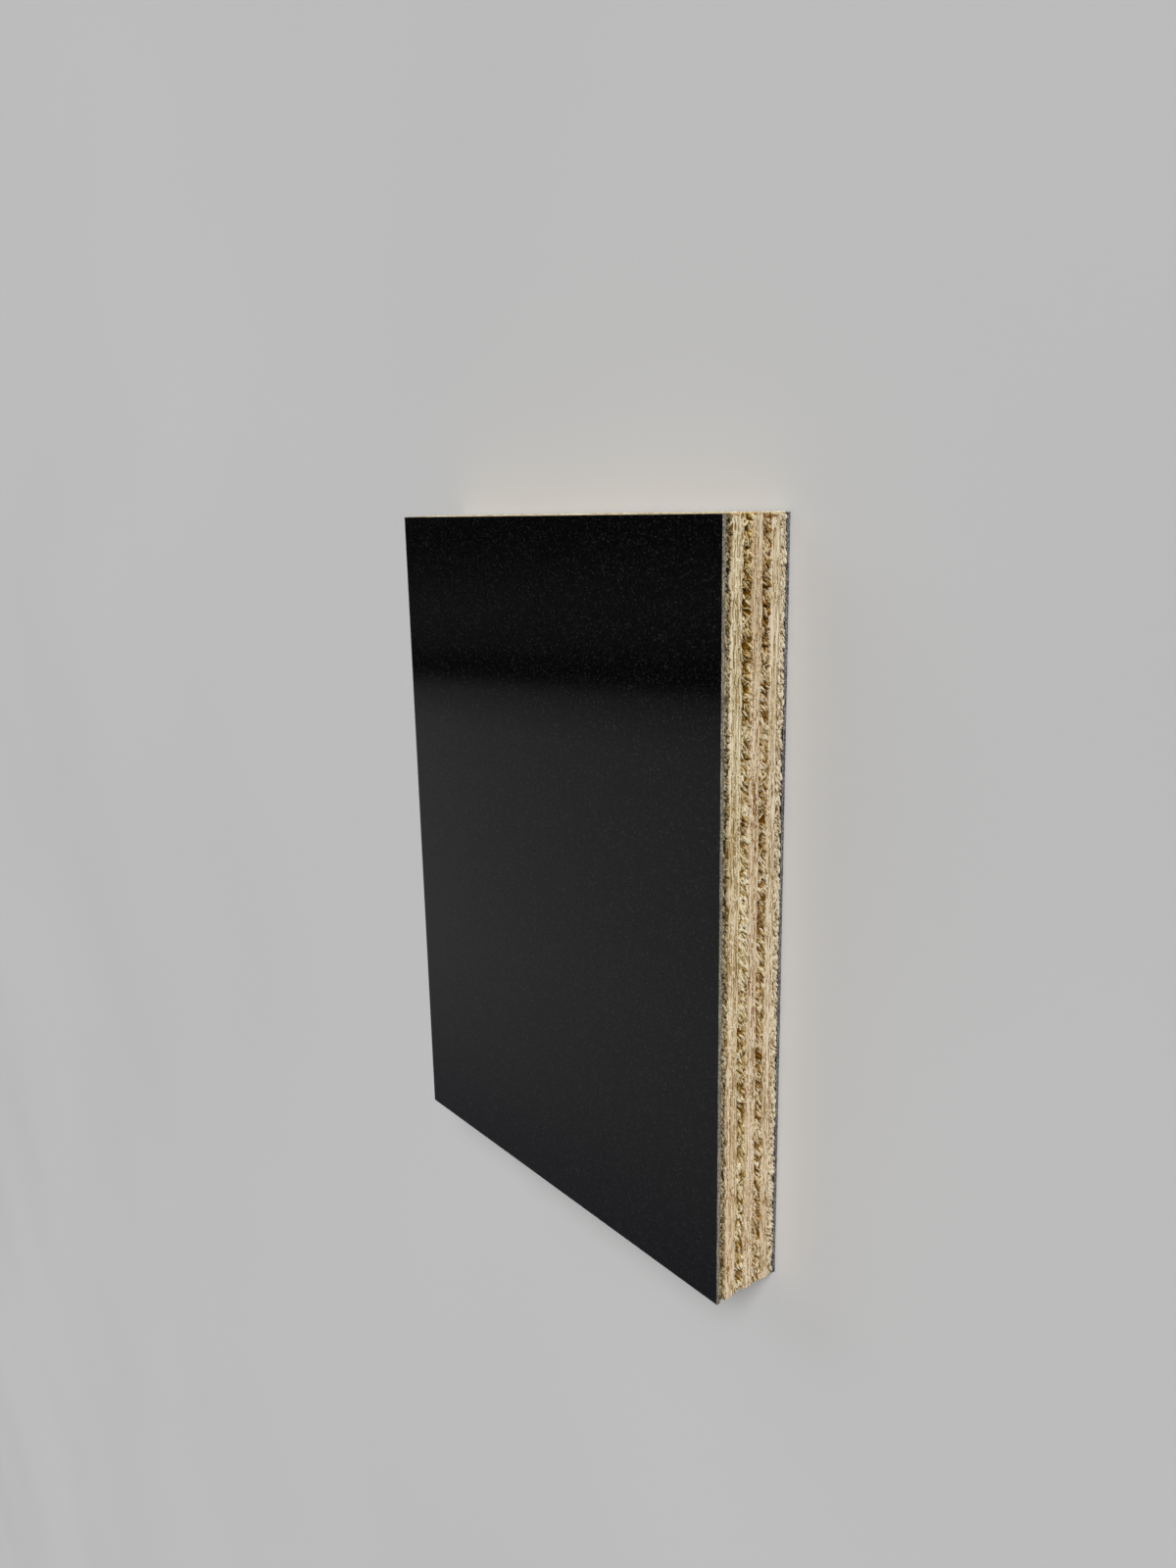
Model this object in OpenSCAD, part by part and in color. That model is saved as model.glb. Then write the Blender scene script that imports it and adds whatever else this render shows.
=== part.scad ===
// Laminate-faced plywood sheet, sawn to a hand-sample size and lying flat with its face up.
// X runs across the sheet, Y runs along it and Z runs up through the layers.
// The origin is the centre of the underside, on the surface that the sheet lies on.

/* [Sheet] */
// Length of the sawn sheet, along Y
sheet_length = 148; // [60:1:3050]
// Width of the sawn sheet, along X
sheet_width = 105; // [60:1:1525]

/* [Laminate skins] */
// Thickness of the laminate glued to the face
face_laminate_t = 0.8; // [0.4:0.1:1.6]
// Thickness of the laminate glued to the back
back_laminate_t = 0.8; // [0.4:0.1:1.6]

/* [Veneers with the grain across the sheet] */
// Thickness of the veneer under the face laminate
face_veneer_t = 1.4; // [1:0.1:4]
// Thickness of the core veneer above the centre ply
upper_core_t = 2.5; // [1:0.1:4]
// Thickness of the core veneer below the centre ply
lower_core_t = 2.4; // [1:0.1:4]
// Thickness of the veneer on the back laminate
back_veneer_t = 1.6; // [1:0.1:4]

/* [Veneers with the grain along the sheet] */
// Thickness of the crossband below the face veneer
upper_crossband_t = 2.6; // [1:0.1:4]
// Thickness of the veneer in the middle of the stack
centre_ply_t = 2.2; // [1:0.1:4]
// Thickness of the crossband above the back veneer
lower_crossband_t = 1.8; // [1:0.1:4]

/* [Colours] */
// Black decor of the laminate skins
laminate_colour = "#1b1b1c"; // color
// Sawn end grain, which the cross veneers show on the long edges
end_grain_colour = "#a08a62"; // color
// Sawn long grain, which the other veneers show on the long edges
long_grain_colour = "#beaa88"; // color

/* [Hidden] */
NODES = [
    "back_laminate", "back_veneer", "lower_crossband", "lower_core", "centre_ply",
    "upper_core", "upper_crossband", "face_veneer", "face_laminate",
];

// Layer thicknesses in the order of NODES, from the underside up
layer_t = [
    back_laminate_t, back_veneer_t, lower_crossband_t, lower_core_t, centre_ply_t,
    upper_core_t, upper_crossband_t, face_veneer_t, face_laminate_t,
];

// Place of a named layer in the stack, counted from the underside
function place(name) = search([name], NODES)[0];

// Height of the glue line under a layer: the sum of all that lies below it
function underside(i) = i == 0 ? 0 : underside(i - 1) + layer_t[i - 1];

// One layer of the stack: a flat plate of the sheet's outline, glued to the layers above and below
module layer(name) {
    i = place(name);
    translate([-sheet_width / 2, -sheet_length / 2, underside(i)])
        cube([sheet_width, sheet_length, layer_t[i]]);
}

module back_laminate() { color(laminate_colour) layer("back_laminate"); }
module back_veneer() { color(end_grain_colour) layer("back_veneer"); }
module lower_crossband() { color(long_grain_colour) layer("lower_crossband"); }
module lower_core() { color(end_grain_colour) layer("lower_core"); }
module centre_ply() { color(long_grain_colour) layer("centre_ply"); }
module upper_core() { color(end_grain_colour) layer("upper_core"); }
module upper_crossband() { color(long_grain_colour) layer("upper_crossband"); }
module face_veneer() { color(end_grain_colour) layer("face_veneer"); }
module face_laminate() { color(laminate_colour) layer("face_laminate"); }

back_laminate();
back_veneer();
lower_crossband();
lower_core();
centre_ply();
upper_core();
upper_crossband();
face_veneer();
face_laminate();
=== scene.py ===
# %% [markdown]
# # A sawn sheet of laminate-faced plywood
# The object is a hand sample of plywood: seven thin sheets of poplar, called plies or veneers, glued in a
# stack with the grain turned by a quarter turn each time, and a black laminate skin glued on both sides.
# All its character is in two places. One is the smooth black face. The other is the sawn edge, where a ply
# cut along its grain shows calm streaks and a ply cut across its grain shows torn, fuzzy fibre ends.
#
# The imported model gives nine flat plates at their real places. This lesson keeps those places and gives
# each plate the surface that a saw and a press leave behind.

# %% Load the frame
import math

import bpy
import numpy as np
from mathutils import Matrix, Vector


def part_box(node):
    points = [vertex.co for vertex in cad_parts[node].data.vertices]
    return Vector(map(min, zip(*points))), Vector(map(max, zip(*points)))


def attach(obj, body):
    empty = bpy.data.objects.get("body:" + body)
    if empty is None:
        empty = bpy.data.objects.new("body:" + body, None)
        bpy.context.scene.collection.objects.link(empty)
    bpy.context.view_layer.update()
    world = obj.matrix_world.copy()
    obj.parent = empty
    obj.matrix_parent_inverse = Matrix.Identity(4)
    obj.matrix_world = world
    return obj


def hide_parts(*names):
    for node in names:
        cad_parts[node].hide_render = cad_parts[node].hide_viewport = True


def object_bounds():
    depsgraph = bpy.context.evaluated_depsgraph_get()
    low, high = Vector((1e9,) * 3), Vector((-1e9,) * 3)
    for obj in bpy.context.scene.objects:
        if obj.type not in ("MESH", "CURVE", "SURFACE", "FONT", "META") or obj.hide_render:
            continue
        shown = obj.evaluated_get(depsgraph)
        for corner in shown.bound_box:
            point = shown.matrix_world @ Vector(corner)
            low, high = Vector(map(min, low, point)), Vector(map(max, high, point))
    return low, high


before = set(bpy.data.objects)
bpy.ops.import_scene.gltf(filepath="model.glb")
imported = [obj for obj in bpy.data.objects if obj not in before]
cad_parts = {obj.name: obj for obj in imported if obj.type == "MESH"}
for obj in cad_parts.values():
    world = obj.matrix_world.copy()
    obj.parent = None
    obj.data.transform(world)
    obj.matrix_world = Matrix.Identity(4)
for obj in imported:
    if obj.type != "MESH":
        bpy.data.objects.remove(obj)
cad_box = [list(corner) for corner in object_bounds()]
print(f"the frame has {len(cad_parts)} nodes, and its CAD box in metres is", cad_box)

# %% [markdown]
# ## Sizes that come from the frame
# Blender works in metres, and a veneer is easier to think of in millimetres, so the shapes below are worked
# out in millimetres and turned into metres at the end. Each layer's underside and thickness are read
# from its own plate, so the dressed sheet can't drift away from the measured one.

# %% Layers of the stack
MM = 0.001
LAYERS = ["back_laminate", "back_veneer", "lower_crossband", "lower_core", "centre_ply",
          "upper_core", "upper_crossband", "face_veneer", "face_laminate"]
level = [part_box(name)[0][2] / MM for name in LAYERS] + [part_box(LAYERS[-1])[1][2] / MM]
half_width = cad_box[1][0] / MM
half_length = cad_box[1][1] / MM
for i, name in enumerate(LAYERS):
    print(f"{name}: {level[i]:.1f} to {level[i + 1]:.1f} mm")

# %% [markdown]
# ## Camera
# The camera looks down on the sheet as it lies, over its right-hand edge, so that the black face and the
# sawn edge both show. A camera can be placed by trial, but here its place, aim and roll were solved from
# the six corners that show in the picture, for a lens of 27 mm on a frame 36 mm high.
# The sheet's long side runs up the picture, so +Y is the camera's upward direction.

# %% Make the camera
EYE = Vector((194.1, 75.1, 154.5)) * MM
AIM = Vector((15.2, 22.2, 16.1)) * MM
ROLL = math.radians(-1.06)
LENS = 27.0
FRAME_HEIGHT = 36.0
CLIP_START = 0.01


def look(eye, aim, up, roll):
    """The matrix of a camera or lamp at eye that looks at aim, with up towards the picture's top."""
    back = (eye - aim).normalized()
    right = up.cross(back).normalized()
    turned = Matrix((right, back.cross(right), back)).transposed().to_4x4()
    return Matrix.Translation(eye) @ turned @ Matrix.Rotation(roll, 4, "Z")


camera_data = bpy.data.cameras.new("camera")
camera_data.lens = LENS
camera_data.sensor_width = FRAME_HEIGHT
camera_data.sensor_fit = "AUTO"
camera_data.clip_start = CLIP_START
camera = bpy.data.objects.new("camera", camera_data)
camera.matrix_world = look(EYE, AIM, Vector((0, 1, 0)), ROLL)
bpy.context.scene.collection.objects.link(camera)
bpy.context.scene.camera = camera
print(f"camera: {(EYE - AIM).length / MM:.0f} mm from the face")

# %% [markdown]
# ## Small helpers for materials
# Colours are picked as sRGB hex values, as on a screen, and a shader wants them linear, so one function
# turns one into the other. A second one adds a node, sets it up, links it and hands back one output, all
# in a single line, which keeps a material readable from top to bottom. Sockets are named, or given in order
# by `enumerate`. A Mix node's colour sockets can only be told from its others by number, so the numbers get
# names. `per` turns the real size of a pattern into the scale that a texture node asks for.

# %% Colour and node helpers
MIX_A, MIX_B, MIX_COLOURS = 6, 7, {"out": 2, "data_type": "RGBA"}
# Nearly all values of a noise texture lie between these two.
NOISE = (0.3, 0.7)


def linear(colour):
    """An sRGB hex colour, such as "#c8b48c", as the linear RGBA that a socket takes."""
    screen = [int(colour[i:i + 2], 16) / 255 for i in (1, 3, 5)]
    return [c / 12.92 if c <= 0.04045 else ((c + 0.055) / 1.055) ** 2.4 for c in screen] + [1.0]


def per(size_mm):
    """How many times a pattern of this size repeats in a metre, which is a texture's scale."""
    return 1 / (size_mm * MM)


def add(tree, kind, inputs=(), stops=(), out=0, **settings):
    """Adds a node. inputs are (socket, value or output) pairs, stops are a ramp's places and colours."""
    node = tree.nodes.new("ShaderNode" + kind)
    for key, value in settings.items():
        setattr(node, key, value)
    for socket, value in inputs:
        if isinstance(value, bpy.types.NodeSocket):
            tree.links.new(value, node.inputs[socket])
        else:
            node.inputs[socket].default_value = value
    for i, (place, colour) in enumerate(stops):
        elements = node.color_ramp.elements
        element = elements[i] if i < 2 else elements.new(place)
        element.position = place
        element.color = linear(colour)
    return node.outputs[out] if node.outputs else None


def blank(name):
    """A new material, its empty node tree, and the place on the piece, from which patterns are drawn."""
    material = bpy.data.materials.new(name)
    material.use_nodes = True
    tree = material.node_tree
    tree.nodes.clear()
    return material, tree, add(tree, "TexCoord", out="Object")


print("linear mid grey:", [round(c, 3) for c in linear("#808080")])

# %% [markdown]
# ## Glue lines
# The plies are pressed together while the glue is wet, so a glue line is nearly straight but not quite: it
# wanders by a tenth or two of a millimetre. The two layers that share a line must wander together, so the
# line is a function of the place along the sheet's rim, and both layers ask the same function.
# The laminate is hard and flat, so the lines next to it hardly move, and the outer faces don't move at all.

# %% Wandering glue lines
RIM = 4 * (half_width + half_length)
VENEER_WANDER = 0.16
LAMINATE_WANDER = 0.06
# Slow, quick and torn waves of a line: first seed, mm between random values, share of the wander.
WAVES = [(100, 13.0, 1.0), (200, 1.6, 0.6), (300, 0.5, 0.4)]


def ease(x):
    """Turns an even rise from 0 to 1 into one that starts and ends gently."""
    return x * x * (3 - 2 * x)


def along_rim(seed, place, step):
    """Smooth random values from -1 to 1 along the closed rim, with a new one about every step."""
    count = round(RIM / step)
    knots = np.random.default_rng(seed).uniform(-1, 1, count)
    at = place / RIM * count
    left = np.floor(at).astype(int)
    part = ease(at - left)
    return knots[left % count] * (1 - part) + knots[(left + 1) % count] * part


def glue_line(i, place):
    """Height in mm of the line under layer i at places along the rim."""
    if i in (0, len(LAYERS)):
        return np.full(place.shape, level[i])
    wander = LAMINATE_WANDER if i in (1, len(LAYERS) - 1) else VENEER_WANDER
    return level[i] + wander * sum(share * along_rim(seed + i, place, step) for seed, step, share in WAVES)


print(f"the rim is {RIM:.0f} mm round, with {len(LAYERS) - 1} glue lines")

# %% [markdown]
# ## Sawn wood as a felt of fibres
# A displacement texture would give soft bumps, but torn wood isn't bumpy: it is a felt of separate fibres
# that lie over each other. So each sawn side starts as a rough ground, and thousands of small fibres with
# round backs and pointed ends are laid on it. Whatever lies highest wins, as on the real thing.
#
# Besides the height, each place keeps two things about the fibre on top. One is its shade, painted a little
# darker along the flanks as painted shade on a round back, so that neighbours stay apart even where they are
# equally pale. The other is the place across the fibre, its strand, from which the material draws lines that
# follow the fibre wherever it leans. The strand starts at a number of its own for each fibre, so that no two
# fibres get the same lines.

# %% Lay fibres on a side
# Painted shade: a fibre's shade is lowered towards its flanks by up to these shares.
TORN_FLANK_SHADE = 0.32
PLANED_FLANK_SHADE = 0.07
STRAND_SHIFT = 10.0


def patches(rng, s, t, size):
    """Smooth random values from 0 to 1 over a side, in patches of about size (along, across) mm."""
    knots = rng.uniform(0, 1, (int(s[-1] / size[0]) + 2, int(t[-1] / size[1]) + 2))
    i, j = (s / size[0]).astype(int), (t / size[1]).astype(int)
    u, v = ease(s / size[0] - i)[:, None], ease(t / size[1] - j)[None, :]
    low = knots[np.ix_(i, j)] * (1 - u) + knots[np.ix_(i + 1, j)] * u
    high = knots[np.ix_(i, j + 1)] * (1 - u) + knots[np.ix_(i + 1, j + 1)] * u
    return low * (1 - v) + high * v


def bare_side(height, shade, t):
    """A side with no fibres on it yet: its height in mm, its shade from 0 to 1 and its strands."""
    return {"height": height, "shade": shade, "strand": np.broadcast_to(t, height.shape).copy()}


def lay_fibres(side, s, t, flank_shade, fibres):
    """Lays fibres on a side, each (s, t, slant, half length, half width, base, crown, shade), in mm."""
    step_s, step_t = s[1] - s[0], t[1] - t[0]
    for s0, t0, slant, half_l, half_w, base, crown, own_shade in fibres:
        c, n = math.cos(slant), math.sin(slant)
        reach_s = half_l * abs(c) + half_w * abs(n)
        reach_t = half_l * abs(n) + half_w * abs(c)
        i = slice(max(0, int((s0 - reach_s) / step_s)), int((s0 + reach_s) / step_s) + 2)
        j = slice(max(0, int((t0 - reach_t) / step_t)), int((t0 + reach_t) / step_t) + 2)
        x, y = s[i, None] - s0, t[None, j] - t0
        along, across = x * c + y * n, y * c - x * n
        back = np.sqrt(np.clip(1 - (along / half_l) ** 2 - (across / half_w) ** 2, 0, None))
        top = np.where(back > 0, base + crown * back, -np.inf)
        higher = top > side["height"][i, j]
        side["height"][i, j][higher] = top[higher]
        side["shade"][i, j][higher] = own_shade - flank_shade * (1 - back[higher])
        side["strand"][i, j][higher] = STRAND_SHIFT * s0 + across[higher]


def scatter(rng, s, t, per_mm2):
    """Random places (s, t) on a side, this many per square mm, with the column and row of each."""
    count = int(per_mm2 * s[-1] * t[-1])
    s0, t0 = rng.uniform(0, s[-1], count), rng.uniform(0, t[-1], count)
    return s0, t0, (s0 / (s[1] - s[0])).astype(int), (t0 / (t[1] - t[0])).astype(int)


print(f"fibres are laid one by one; a torn one is up to {TORN_FLANK_SHADE:.0%} darker at its flanks")

# %% [markdown]
# ## End grain
# Across the grain the saw tears. It bends the fibres over, most of them to one slant, like mown grass, and
# in patches a few millimetres long it rips them out about a millimetre deep. A few fibres are spared and
# bridge such a hole. Thick bundles come first and single fibres on top of them. What lies deep is painted
# darker, as painted shade, because less light gets there, and the bare ground between the fibres is painted
# dark as painted shade too.

# %% A side of end grain
GROUND = -0.5
# Painted shade: the bare ground between the fibres is painted dark.
GROUND_SHADE = 0.08
FLUSH = -0.02
TORN_DEPTH = 0.8
FIBRE_SINK = 0.75
LUMP_SIZE, LUMP_HEIGHT = (0.5, 0.5), 0.14
SWIRL_SIZE, SWIRL = (4.0, 1.2), 0.5
BUNDLES = {"per_mm2": 1.8, "length": (0.5, 1.1), "width": (0.12, 0.19), "crown": (0.12, 0.26), "tone": 1.0}
SINGLES = {"per_mm2": 3.0, "length": (0.45, 1.0), "width": (0.07, 0.11), "crown": (0.06, 0.16), "tone": 1.12}
SLANT_SPREAD = 0.14
STRAY_SHARE, STRAY_SLANT = 0.12, 1.4
SPARED_SHARE = 0.2
TONE_SPREAD = 0.3
# Painted shade: a fibre is painted darker the deeper it lies.
DEPTH_SHADE = 0.8
END_TONES = (0.06, 1.1)


def end_grain(rng, s, t, torn, lean, size):
    """A side sawn across the grain, torn out where torn is 1, its fibres leaning by lean degrees."""
    lumps = LUMP_HEIGHT * patches(rng, s, t, LUMP_SIZE)
    ground = GROUND - TORN_DEPTH * np.maximum(torn, 0) + lumps
    side = bare_side(ground, np.full(torn.shape, GROUND_SHADE), t)
    turn = np.radians(lean)[:, None] + SWIRL * (patches(rng, s, t, SWIRL_SIZE) - 0.5)
    for kind in (BUNDLES, SINGLES):
        s0, t0, i, j = scatter(rng, s, t, kind["per_mm2"] / size**2)
        n = len(s0)
        slant = turn[i, j] + rng.normal(0, SLANT_SPREAD, n)
        stray = rng.random(n) < STRAY_SHARE
        slant[stray] = rng.uniform(-STRAY_SLANT, STRAY_SLANT, stray.sum())
        spared = rng.random(n) < SPARED_SHARE
        depth = np.where(spared, np.minimum(torn[i, j], 0), torn[i, j])
        base = np.minimum(rng.uniform(GROUND, FLUSH, n) - FIBRE_SINK * depth, FLUSH)
        tone = np.clip(rng.normal(kind["tone"], TONE_SPREAD, n) + DEPTH_SHADE * base, *END_TONES)
        length = size * rng.uniform(*kind["length"], n)
        width = size * rng.uniform(*kind["width"], n)
        crown = rng.uniform(*kind["crown"], n)
        fibres = np.column_stack((s0, t0, slant, length, width, base, crown, tone))
        lay_fibres(side, s, t, TORN_FLANK_SHADE, fibres)
    return side


print(f"end grain: {BUNDLES['per_mm2'] + SINGLES['per_mm2']:.1f} fibres per square millimetre")

# %% [markdown]
# ## Long grain
# Along the grain the saw nearly planes: the streaks are only a few hundredths of a millimetre
# deep. Three layers of strokes make it: straight fibres, then open pores, and last the fuzz of
# short fibres that the blade lifted. A pore is a fibre laid upside down, on the negative of the height.
# Stripes of paler and darker fibres run on for centimetres, as the knife peeled them off the log.

# %% A side of long grain
PLANED = -0.14
WAVE_SIZE, WAVE_DEPTH = (9.0, 0.6), 0.12
STREAK_SIZE, STREAK_SHADES = (9.0, 0.35), (0.45, 0.25)
STRIPE_SIZE, STRIPE_DEPTH = (28.0, 0.3), 0.62
FRAYED_GROUND, FRAYED_FIBRES = 0.15, 0.12
# depth_shade is painted shade: a straight or fuzz fibre is painted darker the deeper it lies.
# Slants and tones are a mean and a spread; a pore's length is its least and its usual addition.
STRAIGHT = {"per_mm2": 8.0, "slant": (0.015, 0.012), "length": (0.5, 4.5), "width": (0.07, 0.14),
            "base": (-0.09, -0.02), "crown": (0.01, 0.04), "tone": (0.94, 0.13), "depth_shade": 0.9}
PORES = {"per_mm2": 1.4, "slant": (0.01, 0.008), "length": (0.4, 1.6), "width": (0.055, 0.08),
         "crown": (0.10, 0.22), "tones": (0.1, 0.6)}
FUZZ = {"per_mm2": 6.0, "slant": (0.3, 0.5), "length": (0.25, 0.8), "width": (0.06, 0.10),
        "base": (-0.2, 0.02), "crown": (0.05, 0.12), "tone": (0.86, 0.2), "depth_shade": 0.6}
FUZZ_CALM, FUZZ_FRAYED = 0.25, 0.75
LONG_TONES, FUZZ_TONES = (0.1, 1.1), (0.1, 1)


def strokes(rng, kind, s0, t0, base, tone):
    """Fibres of one kind at these places, for lay_fibres, with random slants and sizes."""
    n = len(s0)
    return np.column_stack((s0, t0, rng.normal(*kind["slant"], n), rng.uniform(*kind["length"], n),
                            rng.uniform(*kind["width"], n), base, rng.uniform(*kind["crown"], n), tone))


def lay_pores(rng, side, s, t):
    """Opens pores in a side, by laying fibres on its negative."""
    s0, t0 = scatter(rng, s, t, PORES["per_mm2"])[:2]
    n = len(s0)
    slant = rng.normal(*PORES["slant"], n)
    length = PORES["length"][0] + rng.exponential(PORES["length"][1], n)
    width, crown = rng.uniform(*PORES["width"], n), rng.uniform(*PORES["crown"], n)
    tone = rng.uniform(*PORES["tones"], n)
    side["height"] *= -1
    pores = np.column_stack((s0, t0, slant, length, width, np.zeros(n), crown, tone))
    lay_fibres(side, s, t, PLANED_FLANK_SHADE, pores)
    side["height"] *= -1


def long_grain(rng, s, t, fray):
    """A side sawn along the grain, with its fibres lifted where fray is 1."""
    ground = PLANED - WAVE_DEPTH * patches(rng, s, t, WAVE_SIZE) - FRAYED_GROUND * fray
    streaks = STREAK_SHADES[0] + STREAK_SHADES[1] * patches(rng, s, t, STREAK_SIZE)
    side = bare_side(ground, streaks, t)
    stripes = STRIPE_DEPTH * (patches(rng, s, t, STRIPE_SIZE) - 0.5)
    s0, t0, i, j = scatter(rng, s, t, STRAIGHT["per_mm2"])
    base = rng.uniform(*STRAIGHT["base"], len(s0)) - FRAYED_FIBRES * fray[i, j]
    tone = rng.normal(*STRAIGHT["tone"], len(s0)) + STRAIGHT["depth_shade"] * base + stripes[i, j]
    tone = np.clip(tone, *LONG_TONES)
    lay_fibres(side, s, t, PLANED_FLANK_SHADE, strokes(rng, STRAIGHT, s0, t0, base, tone))
    lay_pores(rng, side, s, t)
    s0, t0, i, j = scatter(rng, s, t, FUZZ["per_mm2"])
    lifted = rng.random(len(s0)) < FUZZ_CALM + FUZZ_FRAYED * fray[i, j]
    s0, t0 = s0[lifted], t0[lifted]
    base = rng.uniform(*FUZZ["base"], len(s0))
    tone = np.clip(rng.normal(*FUZZ["tone"], len(s0)) + FUZZ["depth_shade"] * base, *FUZZ_TONES)
    lay_fibres(side, s, t, TORN_FLANK_SHADE, strokes(rng, FUZZ, s0, t0, base, tone))
    return side


print(f"long grain: {STRAIGHT['per_mm2']:.0f} straight fibres per square millimetre, with pores and fuzz")

# %% [markdown]
# ## From sides to a wall
# A layer is one closed mesh: a wall of small quads all the way round, and a cap above and below.
# Walking round the rim in one direction, each side has an outward direction and a walking direction.
# The height of the felt moves a point outwards. At a corner, two sides meet, so the last column of one
# and the first of the next are the same column, moved by both heights, and the columns next to it are
# drawn along so that the wall can't fold over itself. The side that the picture shows is the finest.

# %% Build a layer's wall
SEEN_PITCH, OTHER_PITCH, ROW_PITCH = 0.125, 0.2, 0.12
GROUP = 8
CORNER_DRAW = 4.0
SIDES = [((1, 0), half_length), ((0, 1), half_width), ((-1, 0), half_length), ((0, -1), half_width)]
SEEN, FAR, NEAR = 0, 1, 3


def side_places(half, pitch):
    """Places in mm along a side, in whole groups of columns, because a cap joins one group at a time."""
    return np.linspace(0, 2 * half, GROUP * round(2 * half / pitch / GROUP) + 1)


def rim_walls(i, rows, fields):
    """Points (columns, rows, 3) in mm of layer i's wall, with the nominal rim and each column's place."""
    points, rim, places, walked = [], [], [], 0.0
    for k, (out, half) in enumerate(SIDES):
        out = np.array(out, float)
        ahead = np.array((-out[1], out[0]))
        reach = half_width if out[0] else half_length
        s, height = fields[k][0][:-1], fields[k][1]["height"][:-1]
        fade_in = np.clip(1 - s / CORNER_DRAW, 0, 1)[:, None] ** 2
        fade_out = np.clip(1 - (2 * half - s) / CORNER_DRAW, 0, 1)[:, None] ** 2
        before, after = fields[k - 1][1]["height"][-1], fields[(k + 1) % len(SIDES)][1]["height"][0]
        shift = after * fade_out - before * fade_in
        flat = out * reach + ahead * (s[:, None] - half)
        place = flat[:, None] + ahead * shift[..., None] + out * height[..., None]
        low, high = glue_line(i, walked + s), glue_line(i + 1, walked + s)
        z = low[:, None] + (high - low)[:, None] * (rows / rows[-1])
        points.append(np.concatenate((place, z[..., None]), axis=2))
        rim.append(flat)
        places.append(walked + s)
        walked += 2 * half
    return np.concatenate(points), np.concatenate(rim), np.concatenate(places)


print("columns on the seen side:", len(side_places(half_length, SEEN_PITCH)) - 1)

# %% [markdown]
# ## Caps, and a map for baking
# A cap is a ring of wide faces round one big face. Each wide face joins a whole group of columns, so that
# a fine wall doesn't ask for a fine cap, which nobody sees between two plies.
#
# The mesh also gets a map for baking. A rim of half a metre by two millimetres would be a hair-thin strip
# on a square picture, so the wall is folded into rows like a strip of film, with a margin between them.
# The two caps lie side by side above the rows.

# %% Close a layer
CAP_INSET = 3.0
CAP_VALUES = {"height": -0.3, "shade": 0.4, "strand": 0.0}
FOLD_MARGIN, FOLD_FILL, FOLD_WIDTH = 0.08, 0.84, 0.99
# A cap's mapped size against the half sheet, its width, its share of the height left, and where it starts.
CAP_SPREAD, CAP_WIDTH, CAP_FILL, CAP_TOP, CAP_SHIFT, CAP_GAP = 2.04, 0.49, 0.97, 0.94, 0.505, 0.005


def wall_map(rows, row, column, places, share):
    """Map corners of the wall's quads, folded into rows that fill the lowest share of the picture."""
    folds = max(1, round(math.sqrt(RIM / rows[-1] * share)))
    fold = np.floor(places / RIM * folds)
    ends = np.append(places[1:], RIM)
    u = np.column_stack((places, ends, ends, places)) / RIM * folds - fold[:, None]
    v = rows[row[:, None] + np.array((0, 0, 1, 1))] / rows[-1]
    v = (fold[column, None] + FOLD_MARGIN + FOLD_FILL * v) / folds * share
    return np.stack((FOLD_WIDTH * u[column], v), axis=2).reshape(-1, 2)


def cap_faces(k, n, m, count):
    """Faces of cap k, 0 below and 1 above a wall of n columns and m rows, round a ring of count points."""
    ring = [n * m + k * count + g for g in range(count)]
    rim_row = [c * m + k * (m - 1) for c in range(n)]
    faces = []
    for g in range(count):
        outer = [rim_row[(g * GROUP + j) % n] for j in range(GROUP + 1)]
        faces.append(outer + [ring[(g + 1) % count], ring[g]])
    return [face if k else face[::-1] for face in faces + [ring]]


def cap_map(k, corners, share):
    """Map corners of cap k, from its corners' places in mm, above the wall's share of the picture."""
    place = corners / (CAP_SPREAD * np.array((half_width, half_length))) + 0.5
    return place * (CAP_WIDTH, CAP_FILL * (CAP_TOP - share)) + (CAP_SHIFT * k, share + CAP_GAP)


def closed_layer(i, rows, fields, share):
    """Layer i as one closed mesh: vertices in mm, faces, which are wall, point values and map corners."""
    wall, rim, places = rim_walls(i, rows, fields)
    n, m = wall.shape[:2]
    inner = rim[::GROUP] * (1 - CAP_INSET / np.array((half_width, half_length)))
    caps = [np.column_stack((inner, np.full(len(inner), level[i + k]))) for k in (0, 1)]
    vertices = np.concatenate((wall.reshape(-1, 3), *caps))
    values = {}
    for key, on_cap in CAP_VALUES.items():
        on_wall = np.concatenate([side[key][:-1] for s, side in fields]).ravel()
        values[key] = np.append(on_wall, np.full(2 * len(inner), on_cap))
    column, row = [x.ravel() for x in np.meshgrid(np.arange(n), np.arange(m - 1), indexing="ij")]
    here, after = column * m + row, (column + 1) % n * m + row
    faces = np.column_stack((here, after, after + 1, here + 1)).tolist()
    is_wall = [True] * len(faces)
    uv = [wall_map(rows, row, column, places, share)]
    for k in (0, 1):
        cap = cap_faces(k, n, m, len(inner))
        faces += cap
        is_wall += [False] * len(cap)
        uv.append(cap_map(k, vertices[[v for face in cap for v in face], :2], share))
    return vertices, faces, is_wall, values, np.concatenate(uv)


print(f"a cap's ring has one point for every {GROUP} columns of the wall")

# %% [markdown]
# ## Loose fibres
# The felt has no overhangs, and a torn edge does: single fibres stand off the surface, cross the glue
# line and blur it. Curves with a bevel would do for a few. For thousands it is quicker to compute all
# tubes at once as arrays: three rings of three points, tapered, bent outwards and closed at both ends.

# %% Make loose fibres
RINGS = 3
TUBE_SIDES = 3
TAPER = 0.8


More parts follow.
